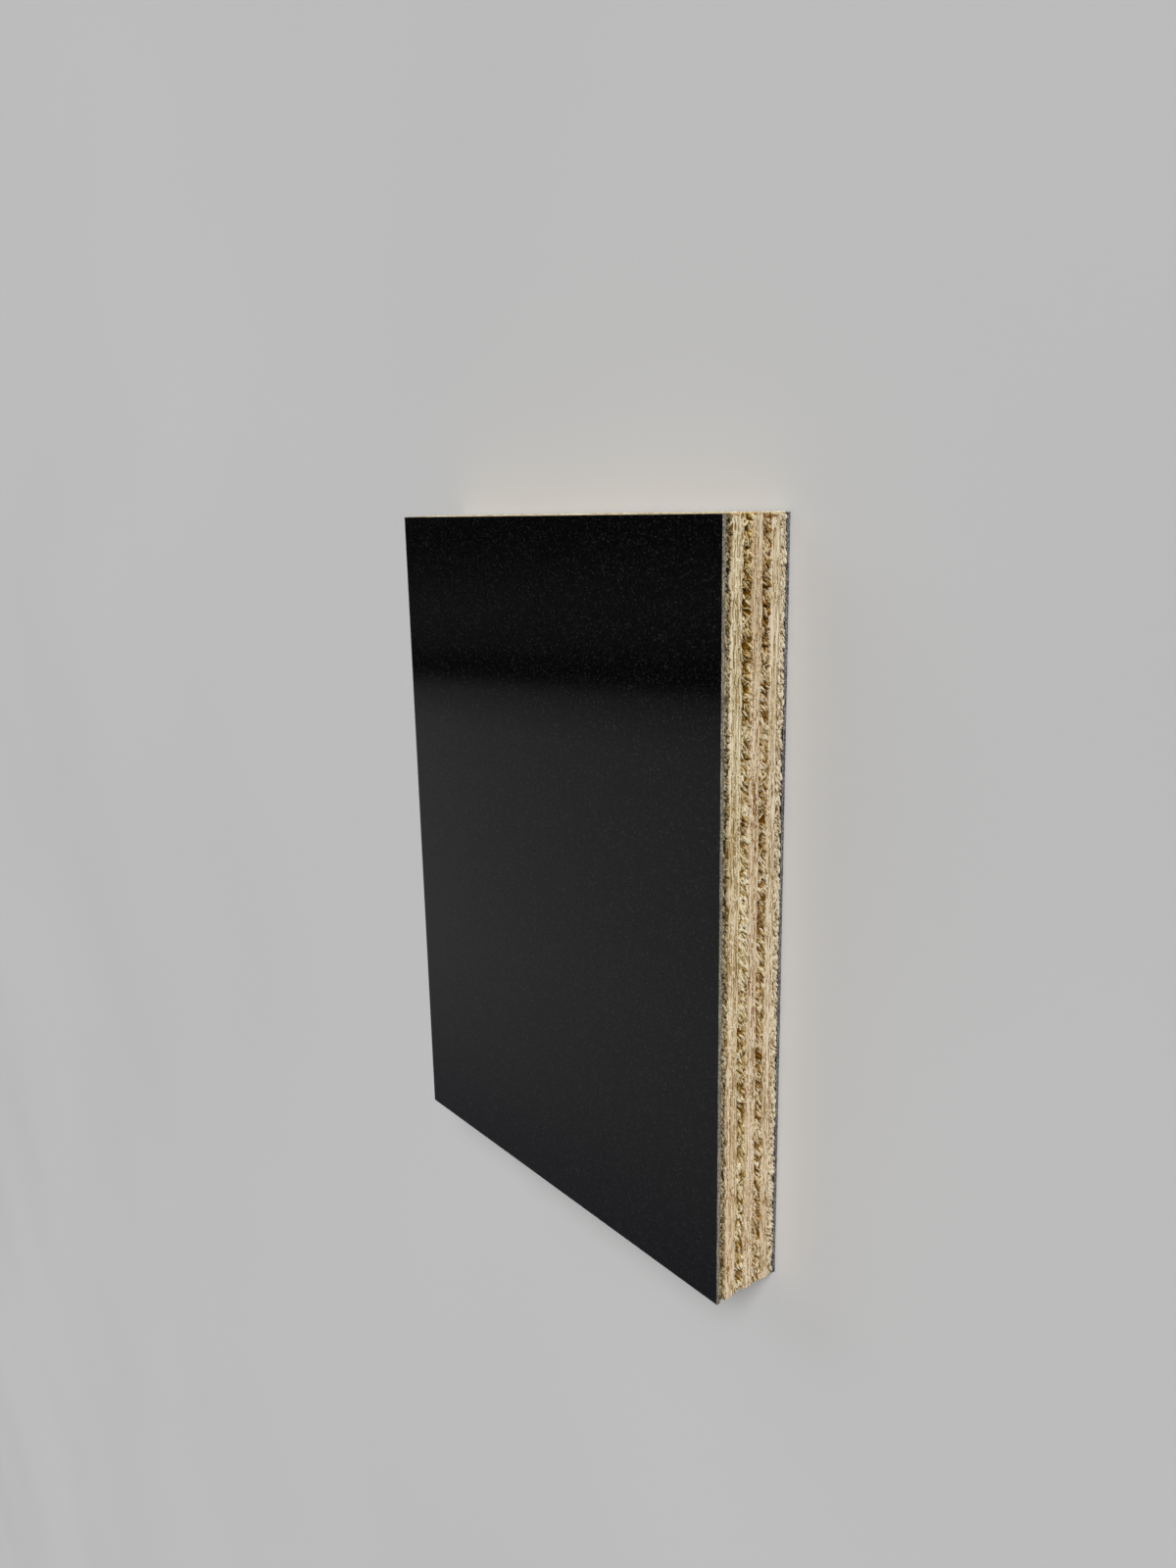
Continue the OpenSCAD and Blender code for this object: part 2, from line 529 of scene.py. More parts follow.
def fibre_tubes(root, along, out, length, radius, lift):
    """Vertices and faces of closed, tapered tubes from root along a direction, lifting outwards, in mm."""
    k = np.linspace(0, 1, RINGS)
    path = root[:, None] + along[:, None] * (length[:, None] * k)[..., None]
    path = path + out[:, None] * (lift[:, None] * k**2)[..., None]
    turn = 2 * math.pi * np.arange(TUBE_SIDES) / TUBE_SIDES
    ring = np.cross(along, out)[:, None] * np.cos(turn)[:, None] + out[:, None] * np.sin(turn)[:, None]
    width = radius[:, None] * (1 - TAPER * k**2)
    vertices = path[:, :, None] + width[:, :, None, None] * ring[:, None]
    rings = np.arange(RINGS * TUBE_SIDES).reshape(RINGS, TUBE_SIDES).tolist()
    one = [[low[a - TUBE_SIDES + 1], low[a], high[a], high[a - TUBE_SIDES + 1]]
           for low, high in zip(rings, rings[1:]) for a in range(TUBE_SIDES)] + [rings[0], rings[-1][::-1]]
    starts = range(0, len(root) * RINGS * TUBE_SIDES, RINGS * TUBE_SIDES)
    return vertices.reshape(-1, 3), [[start + v for v in face] for start in starts for face in one]


print(f"a loose fibre has {RINGS * TUBE_SIDES} vertices")

# %% [markdown]
# ## Poplar, sawn
# Poplar is a pale, soft wood: cream, with a silky fibre and no strong figure. Sawn and left unsanded it is
# fully matt. The shade and height that the felt kept steer the colour, and light and shade are painted in
# with them: fibre tips that catch the light are painted almost white, partly their own pale colour and
# partly painted highlight, and deep holes are painted dark amber, as painted shade warmed by the light that
# comes out of them after passing through wood. Fine lines along each fibre, drawn from its strands, stand
# for the cells that are too thin for the mesh: the real ones are 0.03 mm wide, and they are drawn 0.09 mm
# wide so that they show.
# Each material has a tint that is multiplied in along Y. Some plies turn pink towards the near end, which is
# painted light: warm light bounced from the floor. Others turn golden or brown towards the far end.

# %% Poplar material
FIBRE_WIDTH, FIBRE_CONTRAST = 0.09, 0.16
STAIN_SIZE, STAIN_CONTRAST = 14.0, 0.07
SHADES = (0.12, 0.42, 0.70, 0.95)
# Two ranges, from and to: the share of painted amber shade at a height in mm, and the roughness at a shade.
AMBER_SHADE = (-0.35, -1.1, 0.0, 0.7)
WOOD_ROUGH = (0.2, 0.9, 0.92, 0.72)
LINE_BUMP, LINE_DEPTH = 0.35, 0.06
WOOD_IOR, WOOD_SPECULAR = 1.45, 0.12


def sawn_poplar(name, pale, body, tan, hollow, tint):
    """Unsanded poplar veneer: matt, with fine lines along each fibre, pale fibre tips that are partly
    painted highlight, and holes painted dark amber as painted shade.
    """
    material, tree, place = blank(name)
    strand, shade, height = [add(tree, "Attribute", out="Fac", attribute_name=key)
                             for key in ("strand", "shade", "height")]
    fine = add(tree, "TexNoise", [("W", strand), ("Scale", 1 / FIBRE_WIDTH)], noise_dimensions="1D")
    stain = add(tree, "TexNoise", [("Vector", place), ("Scale", per(STAIN_SIZE))])
    toned = shade
    for pattern, contrast in ((fine, FIBRE_CONTRAST), (stain, STAIN_CONTRAST)):
        swing = add(tree, "MapRange", enumerate((pattern, *NOISE, -contrast, contrast)))
        toned = add(tree, "Math", [(0, toned), (1, swing)], operation="ADD")
    wood = add(tree, "ValToRGB", [("Fac", toned)], zip(SHADES, (hollow, tan, body, pale)))
    # Painted shade: the deeper a place, the more of the dark amber hollow colour it gets.
    sunk_shade = add(tree, "MapRange", enumerate((height, *AMBER_SHADE)))
    colour = add(tree, "Mix", [("Factor", sunk_shade), (MIX_A, wood), (MIX_B, linear(hollow))], **MIX_COLOURS)
    along = add(tree, "SeparateXYZ", [("Vector", place)], out="Y")
    tint_from, tint_to, tint_colour = tint
    tinted = add(tree, "MapRange", enumerate((along, tint_from * MM, tint_to * MM)))
    colour = add(tree, "Mix", [("Factor", tinted), (MIX_A, colour), (MIX_B, linear(tint_colour))],
                 blend_type="MULTIPLY", **MIX_COLOURS)
    rough = add(tree, "MapRange", enumerate((toned, *WOOD_ROUGH)))
    bump = add(tree, "Bump", [("Height", fine), ("Strength", LINE_BUMP), ("Distance", LINE_DEPTH * MM)])
    shader = add(tree, "BsdfPrincipled", [("Base Color", colour), ("Roughness", rough), ("Normal", bump),
                                          ("IOR", WOOD_IOR), ("Specular IOR Level", WOOD_SPECULAR)])
    add(tree, "OutputMaterial", [("Surface", shader)])
    return material


# Tints: where along Y, in mm, it starts and is complete, and its colour.
NO_TINT = (0.0, 1.0, "#ffffff")
# Painted light: the pink tints stand for warm light bounced from the floor onto the near end.
PINK_FLOOR_BOUNCE, FAINT_PINK_FLOOR_BOUNCE = (20.0, -50.0, "#faf0ee"), (20.0, -50.0, "#fffaf8")
BROWN = (0.0, 60.0, "#f2efe8")
GOLDEN, FAINT_GOLDEN = (35.0, 65.0, "#f7f0de"), (35.0, 65.0, "#fbf7ed")
# Each ply's material: its colours from the palest fibre tips to the deepest hollows, whose dark amber is
# painted shade, and its tint.
POPLAR_COLOURS = {
    # The face veneer's colours are darker than the other plies': painted shade from under the laminate's
    # overhanging edge.
    "face_veneer": ("sawn_poplar_face_painted_shade", "#dccba4", "#a48f62", "#74603a", "#3e2e0c", NO_TINT),
    "upper_crossband": ("sawn_poplar_upper_band", "#fff4d4", "#ebd7ad", "#b99c68", "#745420", PINK_FLOOR_BOUNCE),
    "upper_core": ("sawn_poplar_upper_core", "#fff6da", "#e8d19c", "#b5914a", "#765208", GOLDEN),
    "centre_ply": ("sawn_poplar_centre", "#ffefd4", "#eed6b0", "#ba9566", "#724a20", BROWN),
    "lower_core": ("sawn_poplar_lower_core", "#fdf0d2", "#dcc18e", "#a97f3a", "#6c4604", FAINT_GOLDEN),
    "lower_crossband": ("sawn_poplar_lower_band", "#fff3d8", "#ecd9b4", "#c1a679", "#806032", FAINT_PINK_FLOOR_BOUNCE),
    "back_veneer": ("sawn_poplar_back", "#fff2d8", "#f4e4c4", "#d4bc92", "#745838", NO_TINT),
}
POPLAR = {ply: sawn_poplar(*colours) for ply, colours in POPLAR_COLOURS.items()}
print("poplar materials:", len(POPLAR))

# %% [markdown]
# ## The seven plies
# Every second ply has its grain across the sheet: it shows end grain on the two long sides and long grain,
# calm and pale, on the two short ones. The plies between them do the opposite. The cores were torn worst
# by the saw, and the back veneer least, because the hard laminate next to it held its fibres.
#
# On most sides the torn places are random. On the side that the picture shows, the big ones have known
# places, and so have a few splinters and a frayed stretch, and they are listed below. That side's near
# corner is straight, so the near side is hardly torn there, and the far side stands a little proud.

# %% How each ply was torn
# ragged: how torn its end grain is. sink: mm below the plate. relief: scale of the felt's height.
# lean: its fibres' slant in degrees, at a side's start and end. size: of its fibres. fray: of long grain.
GRAIN_KEYS = ("ragged", "sink", "relief", "lean", "size", "fray")
GRAIN_ROWS = {
    "face_veneer": (0.9, 0.03, 1.0, (28, 42), 0.78, 0.4),
    "upper_crossband": (0.8, 0.0, 1.0, (26, 44), 1.0, 0.6),
    "upper_core": (1.0, 0.0, 1.0, (26, 42), 1.0, 0.4),
    "centre_ply": (0.8, 0.0, 1.0, (26, 44), 1.0, 0.8),
    "lower_core": (1.0, 0.0, 1.0, (28, 44), 1.0, 0.4),
    "lower_crossband": (0.6, 0.0, 0.9, (24, 40), 1.0, 0.1),
    "back_veneer": (0.2, -0.06, 0.65, (32, 28), 0.72, 0.4),
}
GRAIN = {ply: dict(zip(GRAIN_KEYS, row)) for ply, row in GRAIN_ROWS.items()}
# Torn-out places on the seen side: mm from the near end, share of the thickness, half length in mm, depth.
# A depth below zero is a place that the saw spared.
HOLES = {
    "face_veneer": [
        (143, 0.4, 2.5, 0.8), (138, 0.4, 3.0, 0.9), (90, 0.35, 20.0, 0.5), (50.5, 0.5, 2.0, -0.9),
        (34, 0.35, 12.0, 0.4), (21, 0.5, 1.2, -0.9), (9, 0.35, 10.0, 0.3)],
    "upper_core": [
        (146, 0.55, 1.6, 1.0), (141.5, 0.6, 3.0, 1.2), (135.8, 0.7, 2.4, 1.1), (132, 0.75, 1.6, 1.0),
        (127, 0.6, 2.0, 1.0), (121, 0.55, 4.0, 1.0), (114, 0.6, 2.6, 1.2), (106.5, 0.35, 1.8, 0.7),
        (102, 0.55, 2.2, 0.8), (93, 0.55, 3.2, 0.85), (73, 0.5, 12.0, -1.0), (53.5, 0.4, 1.6, 1.0),
        (49, 0.4, 1.4, 0.8), (43.5, 0.5, 2.0, 0.8), (39, 0.5, 1.4, 0.6), (35, 0.5, 1.8, 0.4),
        (30.5, 0.5, 1.8, 0.7), (25.5, 0.5, 2.2, 0.4), (20.5, 0.45, 1.8, 0.9), (15, 0.5, 1.2, 0.6),
        (10, 0.5, 2.4, 0.45), (4.5, 0.5, 1.8, 0.6)],
    "lower_core": [
        (145, 0.6, 1.2, 0.8), (138, 0.4, 1.5, 1.1), (135.5, 0.4, 1.5, 1.2), (131, 0.4, 1.6, 1.1),
        (126.5, 0.5, 2.2, 0.9), (121.5, 0.25, 0.8, 0.8), (117.5, 0.3, 0.9, 1.0), (99.5, 0.6, 1.9, 0.85),
        (95.5, 0.6, 2.0, 1.0), (90, 0.6, 2.2, 1.0), (83, 0.6, 1.6, 0.85), (76.5, 0.6, 3.2, 1.0),
        (63, 0.6, 1.6, 0.9), (54, 0.75, 1.2, 0.9), (48, 0.6, 2.2, 0.75), (42, 0.5, 2.0, 0.35),
        (37, 0.5, 1.8, 0.3), (30, 0.5, 2.0, 0.3), (24, 0.5, 1.8, 0.25), (18, 0.5, 2.0, 0.3),
        (12, 0.5, 1.8, 0.3), (6, 0.5, 1.8, 0.25)],
}
FRAYED = {"upper_crossband": (46.0, 62.0)}
print("plies to tear:", ", ".join(GRAIN), "with", sum(map(len, HOLES.values())), "places set by hand")

# %% [markdown]
# ## Tear the sides
# Random patches, cut off below a level, leave separate islands, which is how torn places lie. Where the
# places are known, less than half of the random tearing stays between them. The laminate holds up the
# face veneer's uppermost half millimetre.

# %% Make the sides of a ply
TORN_SIZE, TORN_GAIN, TORN_LEVEL = (1.9, 1.0), 1.9, 0.55
TORN_BETWEEN = 0.45
HOLE_HALF, HOLE_RIM = 0.5, 2.2
HELD, HELD_UP = 0.45, 0.6
FRAY_SIZE, FRAY_GAIN, FRAY_LEVEL = (8.0, 1.0), 1.8, 0.8
FRAY_RIM = 2
CALM_SHADE = 0.5
FAR_PROUD = 0.1
CORNER_REACH, CORNER_HELD = 9.0, 0.92


def torn_places(rng, s, t, ply, seen):
    """How torn out each place of an end-grain side is, from 0 to 1, or less where the face held it."""
    torn = np.clip(TORN_GAIN * patches(rng, s, t, TORN_SIZE) - TORN_LEVEL, 0, 1) * GRAIN[ply]["ragged"]
    if seen and ply in HOLES:
        torn *= TORN_BETWEEN
        for s0, share, half, depth in HOLES[ply]:
            across = (t / t[-1] - share) / HOLE_HALF
            torn += depth * np.clip(HOLE_RIM * (1 - ((s - s0) / half)[:, None] ** 2 - across**2), 0, 1)
    torn = np.clip(torn, -HELD_UP, 1)
    if ply == "face_veneer":
        free = np.clip((t[-1] - t) / HELD, 0, 1)
        torn = torn * free - HELD_UP * (1 - free)
    return torn


def frayed_places(rng, s, t, ply, seen):
    """How frayed each place of a long-grain side is, from 0 to 1."""
    fray = np.clip(FRAY_GAIN * patches(rng, s, t, FRAY_SIZE) - FRAY_LEVEL, 0, 1) * GRAIN[ply]["fray"]
    if seen and ply in FRAYED:
        middle, half = sum(FRAYED[ply]) / 2, (FRAYED[ply][1] - FRAYED[ply][0]) / 2
        fray += np.clip(FRAY_RIM * (1 - ((s - middle) / half) ** 2), 0, 1)[:, None]
    return np.clip(fray, 0, 1)


def side_fields(rng, ply, rows, cross):
    """The four sides of a ply, with their places in mm. cross: its grain runs across the sheet."""
    fields = []
    for k, (out, half) in enumerate(SIDES):
        s = side_places(half, SEEN_PITCH if k == SEEN else OTHER_PITCH)
        if bool(out[0]) == cross:
            lean = np.interp(s, (0, 2 * half), GRAIN[ply]["lean"])
            torn = torn_places(rng, s, rows, ply, k == SEEN)
            side = end_grain(rng, s, rows, torn, lean, GRAIN[ply]["size"])
        else:
            side = long_grain(rng, s, rows, frayed_places(rng, s, rows, ply, k == SEEN))
            if cross:
                side["shade"] = CALM_SHADE + (1 - CALM_SHADE) * side["shade"]
        side["height"] = side["height"] * GRAIN[ply]["relief"] - GRAIN[ply]["sink"]
        if k == FAR:
            side["height"] += FAR_PROUD
        if k == NEAR:
            near_corner = np.clip(1 - (2 * half - s) / CORNER_REACH, 0, 1) ** 2
            side["height"] *= 1 - CORNER_HELD * near_corner[:, None]
        fields.append((s, side))
    return fields


print(f"a torn place is up to {-GROUND + TORN_DEPTH:.1f} mm deep")

# %% [markdown]
# ## Splinters and fuzz
# The loose fibres start just under the surface. On end grain they take the slant of their neighbours, on
# long grain they lift at a small angle, and half of them point the other way. A fibre that would reach past
# the end of its side or past an outer face is left out, so nothing sticks out of the sheet there.

# %% Place the loose fibres
LOOSE = {"end": {"per_mm2": 1.6, "length": (0.4, 1.1), "spread": 0.5},
         "long": {"per_mm2": 0.9, "length": (0.5, 1.8), "spread": 0.4}}
LOOSE_RADIUS, LOOSE_LIFT = (0.03, 0.07), (0.1, 0.4)
LONG_SLANT = 0.2
TURNED_SHARE = 0.5
LOOSE_TONE, LOOSE_TONES = (0.84, 0.12), (0.3, 1)
ROOT_DEPTH = 0.2
CLEAR = 0.3
# Splinters on the seen side: mm from the near end and mm below the face, at both ends, and the radius.
SPLINTERS = {
    "upper_core": [
        (129.6, 5.3, 131.3, 7.0, 0.24), (35.2, 5.6, 32.8, 6.4, 0.30), (116.5, 6.6, 112.8, 7.6, 0.14)],
    "face_veneer": [(107.4, 1.0, 107.7, 2.6, 0.12), (123.7, 1.5, 124.3, 3.0, 0.10)],
    "upper_crossband": [
        (121.2, 3.8, 118.6, 8.0, 0.07), (104.6, 4.8, 103.4, 2.4, 0.10), (51.0, 2.9, 51.3, 4.6, 0.12)],
    "centre_ply": [(92.2, 7.8, 92.9, 9.2, 0.10), (134.0, 6.2, 128.0, 9.6, 0.07)],
    "lower_core": [(14.5, 10.2, 12.0, 11.2, 0.16), (83.8, 10.6, 82.8, 11.6, 0.16)],
}


def loose_fibres(rng, i, cross):
    """Tubes on all four sides of ply i, with their shades."""
    up = np.array((0, 0, 1.0))
    roots, alongs, outs, sizes = [], [], [], []
    thick = level[i + 1] - level[i]
    for k, (out, half) in enumerate(SIDES):
        is_end = bool(out[0]) == cross
        kind = LOOSE["end" if is_end else "long"]
        count = int(kind["per_mm2"] * 2 * half * thick)
        ahead, outward = np.array((-out[1], out[0], 0.0)), np.array((*out, 0.0))
        s, z = rng.uniform(-half, half, count), rng.uniform(level[i], level[i + 1], count)
        lean = np.radians(np.interp(s, (-half, half), GRAIN[LAYERS[i]]["lean"]))
        slant = rng.normal(lean if is_end else LONG_SLANT, kind["spread"], count)
        slant += math.pi * (rng.random(count) < TURNED_SHARE)
        length, radius = rng.uniform(*kind["length"], count), rng.uniform(*LOOSE_RADIUS, count)
        if k == SEEN:
            for s0, d0, s1, d1, thickness in SPLINTERS.get(LAYERS[i], ()):
                s, z = np.append(s, s0 - half), np.append(z, level[-1] - d0)
                slant = np.append(slant, math.atan2(d0 - d1, s1 - s0))
                length = np.append(length, math.hypot(d0 - d1, s1 - s0))
                radius = np.append(radius, thickness)
        s_end, z_end = s + length * np.cos(slant), z + length * np.sin(slant)
        keep = (np.abs(s_end) < half - CLEAR) & (np.abs(s) < half - CLEAR)
        keep &= (z_end > CLEAR) & (z_end < level[-1] - CLEAR)
        s, z, slant = s[keep], z[keep], slant[keep]
        reach = half_width if out[0] else half_length
        roots.append(outward * (reach - ROOT_DEPTH) + ahead * s[:, None] + up * z[:, None])
        alongs.append(ahead * np.cos(slant)[:, None] + up * np.sin(slant)[:, None])
        outs.append(np.repeat(outward[None], len(s), 0))
        sizes.append(np.column_stack((length[keep], radius[keep], rng.uniform(*LOOSE_LIFT, len(s)))))
    size = np.concatenate(sizes)
    root, along, out = np.concatenate(roots), np.concatenate(alongs), np.concatenate(outs)
    vertices, faces = fibre_tubes(root, along, out, *size.T)
    tone = np.clip(rng.normal(*LOOSE_TONE, len(size)), *LOOSE_TONES)
    return vertices, faces, np.repeat(tone, RINGS * TUBE_SIDES)


print("splinters set by hand:", sum(len(group) for group in SPLINTERS.values()))

# %% [markdown]
# ## One piece per ply
# Wall, caps and loose fibres of a ply become one mesh, which replaces the plain plate of the same name.
# The shade, the height and the strands travel with the points, where the wood's material finds them.
# On the map the tubes share a thin strip at the top, each at the place of its own shade.

# %% Build the plies
PLY_WALL_SHARE = 0.84
TUBE_LEFT, TUBE_SPREAD, TUBE_WIDTH = 0.02, 0.95, 0.01
TUBE_LOW, TUBE_HEIGHT = 0.96, 0.03


def mesh_piece(name, vertices, faces, smooth, slots, uv, materials, **fields):
    """A mesh object from vertices in mm, with materials per face, a baking map and point attributes."""
    mesh = bpy.data.meshes.new(name)
    mesh.from_pydata((vertices * MM).tolist(), [], faces)
    mesh.polygons.foreach_set("use_smooth", smooth)
    mesh.polygons.foreach_set("material_index", slots)
    for material in materials:
        mesh.materials.append(material)
    mesh.uv_layers.new(name="OFBake").data.foreach_set("uv", uv.ravel())
    for field, values in fields.items():
        mesh.attributes.new(field, "FLOAT", "POINT").data.foreach_set("value", values.astype(np.float32))
    piece = bpy.data.objects.new(name, mesh)
    bpy.context.scene.collection.objects.link(piece)
    return piece


def tube_map(shade):
    """Map corners of the tubes' faces, from the shade at each corner."""
    corner = np.arange(len(shade))
    u = TUBE_LEFT + TUBE_SPREAD * shade + TUBE_WIDTH * ((corner + 1) % 4 // 2)
    return np.column_stack((u, TUBE_LOW + TUBE_HEIGHT * (corner % 4 // 2)))


def build_ply(i):
    """Ply i of the stack as one piece: its sawn wall, its caps and its loose fibres."""
    name = LAYERS[i]
    rng = np.random.default_rng(i)
    cross = name.endswith(("veneer", "core"))
    thick = level[i + 1] - level[i]
    rows = np.linspace(0, thick, round(thick / ROW_PITCH) + 1)
    fields = side_fields(rng, name, rows, cross)
    vertices, faces, is_wall, values, uv = closed_layer(i, rows, fields, PLY_WALL_SHARE)
    tubes, tube_faces, tube_shade = loose_fibres(rng, i, cross)
    tube_uv = tube_map(tube_shade[[v for face in tube_faces for v in face]])
    faces += [[v + len(vertices) for v in face] for face in tube_faces]
    flat = np.zeros(len(tubes))
    on_tubes = {"shade": tube_shade, "height": flat, "strand": flat}
    piece = mesh_piece(
        name + "_sawn", np.concatenate((vertices, tubes)), faces, is_wall + [True] * len(tube_faces),
        [0] * len(faces), np.concatenate((uv, tube_uv)), [POPLAR[name]],
        **{key: np.concatenate((values[key], on_tube)) for key, on_tube in on_tubes.items()})
    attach(piece, "root")
    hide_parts(name)
    return piece


for i in range(1, len(LAYERS) - 1):
    ply = build_ply(i)
    triangles = sum(len(face.vertices) - 2 for face in ply.data.polygons)
    print(f"{ply.name}: {triangles} triangles")

# %% [markdown]
# ## Laminate: black decor and sawn core
# High-pressure laminate is paper soaked in resin and pressed hard. Its face takes the texture of the press
# plate: here a satin black, as good as a mirror at a low angle, with a dense, very fine grain. Grains that
# face the light glint, and these glints are painted: small cells, each with a paler grey of its own, are
# painted highlights in the colour.
# The grain of the plate is about 0.1 mm, drawn at about 0.35 mm so that it shows.
# Where the saw cut the laminate, the resin is scratched and turns grey, and its chips are painted dark, as
# painted shade.

# %% Laminate materials
PLATE_GRAIN, PLATE_BUMP, PLATE_DEPTH = 0.35, 0.12, 0.02
PLATE_ROUGH = (0.04, 0.09)
# The painted glints: the cells' distance in mm, and the radius of the grey in each, as a share of that
# distance.
GLINT_SPACING, GLINT_RADIUS = 0.33, 0.55
GLINT_GREYS = [(0.1, "#010101"), (0.55, "#08080a"), (0.9, "#1a1a1c"), (1.0, "#2e2e30")]
DECOR_BLACK = "#060607"
RESIN_IOR = 1.5
PAPER_LENGTH, PAPER_SHEET = 4.0, 0.12
SCRATCH_SIZE = 0.4
RESIN_SHADES = (0.40, 0.5, 0.60)
# Painted shade: the cut is painted dark where its chips lie deeper.
CHIP_HEIGHTS, CHIP_SHADE_COLOUR = (-0.06, -0.2), "#323236"
CUT_ROUGH = (0.0, 1.0, 0.45, 0.7)
CUT_BUMP, CUT_DEPTH = 0.3, 0.03


def black_decor():
    """Pressed satin melamine over black paper: a dark mirror with a fine plate grain, and glints painted in
    as pale grey cells.
    """
    material, tree, place = blank("pressed_black_laminate")
    grain = add(tree, "TexNoise", [("Vector", place), ("Scale", per(PLATE_GRAIN))])
    cell = add(tree, "TexVoronoi", [("Vector", place), ("Scale", per(GLINT_SPACING))], out="Distance")
    luck = add(tree, "SeparateColor", [("Color", cell.node.outputs["Color"])], out="Red")
    grey = add(tree, "ValToRGB", [("Fac", luck)], GLINT_GREYS)
    # Painted highlight: small pale grey cells stand for glints of the plate grain.
    painted_glint = add(tree, "Math", [(0, cell), (1, GLINT_RADIUS)], operation="LESS_THAN")
    colour = add(tree, "Mix", [("Factor", painted_glint), (MIX_A, linear(DECOR_BLACK)), (MIX_B, grey)], **MIX_COLOURS)
    rough = add(tree, "MapRange", enumerate((grain, *NOISE, *PLATE_ROUGH)))
    bump = add(tree, "Bump", [("Height", grain), ("Strength", PLATE_BUMP), ("Distance", PLATE_DEPTH * MM)])
    shader = add(tree, "BsdfPrincipled", [("Base Color", colour), ("Roughness", rough), ("Normal", bump),
                                          ("IOR", RESIN_IOR)])
    add(tree, "OutputMaterial", [("Surface", shader)])
    return material


def sawn_laminate(name, dark, middle, light):
    """The cut through the laminate: grey, scratched resin with faint paper layers, and chips painted dark as
    painted shade.
    """
    material, tree, place = blank(name)
    sheets = [per(PAPER_LENGTH), per(PAPER_LENGTH), per(PAPER_SHEET)]
    layered = add(tree, "Mapping", [("Vector", place), ("Scale", sheets)])
    layers = add(tree, "TexNoise", [("Vector", layered), ("Scale", 1.0)])
    scratches = add(tree, "TexNoise", [("Vector", place), ("Scale", per(SCRATCH_SIZE))])
    both = add(tree, "Math", [(0, layers), (1, scratches)], operation="ADD")
    mean = add(tree, "Math", [(0, both), (1, 0.5)], operation="MULTIPLY")
    resin = add(tree, "ValToRGB", [("Fac", mean)], zip(RESIN_SHADES, (dark, middle, light)))
    height = add(tree, "Attribute", out="Fac", attribute_name="height")
    chip_shade = add(tree, "MapRange", enumerate((height, *CHIP_HEIGHTS)))
    colour = add(tree, "Mix", [("Factor", chip_shade), (MIX_A, resin), (MIX_B, linear(CHIP_SHADE_COLOUR))], **MIX_COLOURS)
    rough = add(tree, "MapRange", enumerate((scratches, *CUT_ROUGH)))
    bump = add(tree, "Bump", [("Height", mean), ("Strength", CUT_BUMP), ("Distance", CUT_DEPTH * MM)])
    shader = add(tree, "BsdfPrincipled", [("Base Color", colour), ("Roughness", rough), ("Normal", bump),
                                          ("IOR", RESIN_IOR)])
    add(tree, "OutputMaterial", [("Surface", shader)])
    return material


DECOR = black_decor()
SAWN = {"face_laminate": sawn_laminate("sawn_face_laminate", "#504a40", "#86806f", "#b6af9c"),
        "back_laminate": sawn_laminate("sawn_back_laminate", "#343436", "#666665", "#a6a49e")}
print("laminate materials:", DECOR.name, [material.name for material in SAWN.values()])

# %% [markdown]
# ## The two skins
# A skin is the same kind of closed layer with a much smoother wall: fine scratches across the cut, chips
# where it meets the wood, and an arris, the sharp outer edge, that is broken by only a few hundredths of
# a millimetre.

# %% Build the skins
SKIN_SEED = 50
SKIN_PITCH, SKIN_ROWS = 0.25, 6
SKIN_WALL_SHARE = 0.14
ARRIS = 0.05
SKIN_SINK = 0.02
SCRATCH_DEPTH = 0.008
RIPPLE_SIZE, RIPPLE_DEPTH = (1.2, 0.3), 0.02
CHIP_SIZE, CHIP_GAIN, CHIP_LEVEL = (0.8, 0.4), 6, 4.4
CHIP_DEPTH = {"face_laminate": 0.12, "back_laminate": 0.3}


def build_skin(i):
    """Laminate layer i as one piece: its sawn wall in one material and its faces in the other."""
    name = LAYERS[i]
    rng = np.random.default_rng(SKIN_SEED + i)
    thick = level[i + 1] - level[i]
    rows = np.concatenate(([0], np.linspace(ARRIS, thick - ARRIS, SKIN_ROWS), [thick]))
    toward_wood = rows / thick if i == 0 else 1 - rows / thick
    fields = []
    for out, half in SIDES:
        s = side_places(half, SKIN_PITCH)
        scratch = rng.normal(0, SCRATCH_DEPTH, len(s))[:, None]
        ripple = RIPPLE_DEPTH * (patches(rng, s, rows, RIPPLE_SIZE) - 0.5)
        chips = np.clip(CHIP_GAIN * patches(rng, s, rows, CHIP_SIZE) - CHIP_LEVEL, 0, 1) * toward_wood
        height = scratch + ripple - SKIN_SINK - CHIP_DEPTH[name] * chips
        height[:, 0 if i == 0 else -1] -= ARRIS
        fields.append((s, bare_side(height, np.zeros(height.shape), rows)))
    vertices, faces, is_wall, values, uv = closed_layer(i, rows, fields, SKIN_WALL_SHARE)
    piece = mesh_piece(name + "_skin", vertices, faces, is_wall, [0 if wall else 1 for wall in is_wall], uv,
                       [SAWN[name], DECOR], height=values["height"])
    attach(piece, "root")
    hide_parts(name)
    return piece


for i in (0, len(LAYERS) - 1):
    skin = build_skin(i)
    print(f"{skin.name}: {len(skin.data.polygons)} faces")

# %% [markdown]
# ## Floor
# The sheet lies on a plain, pale, matt floor. It is wide enough to reach past the picture on every side.

# %% Make the floor
FLOOR_HALF = 3.0
CLOUD_SIZE, CLOUD_GREYS = 300, ("#dcdcdc", "#e2e2e2")
FLOOR_ROUGH, FLOOR_SPECULAR = 0.9, 0.1


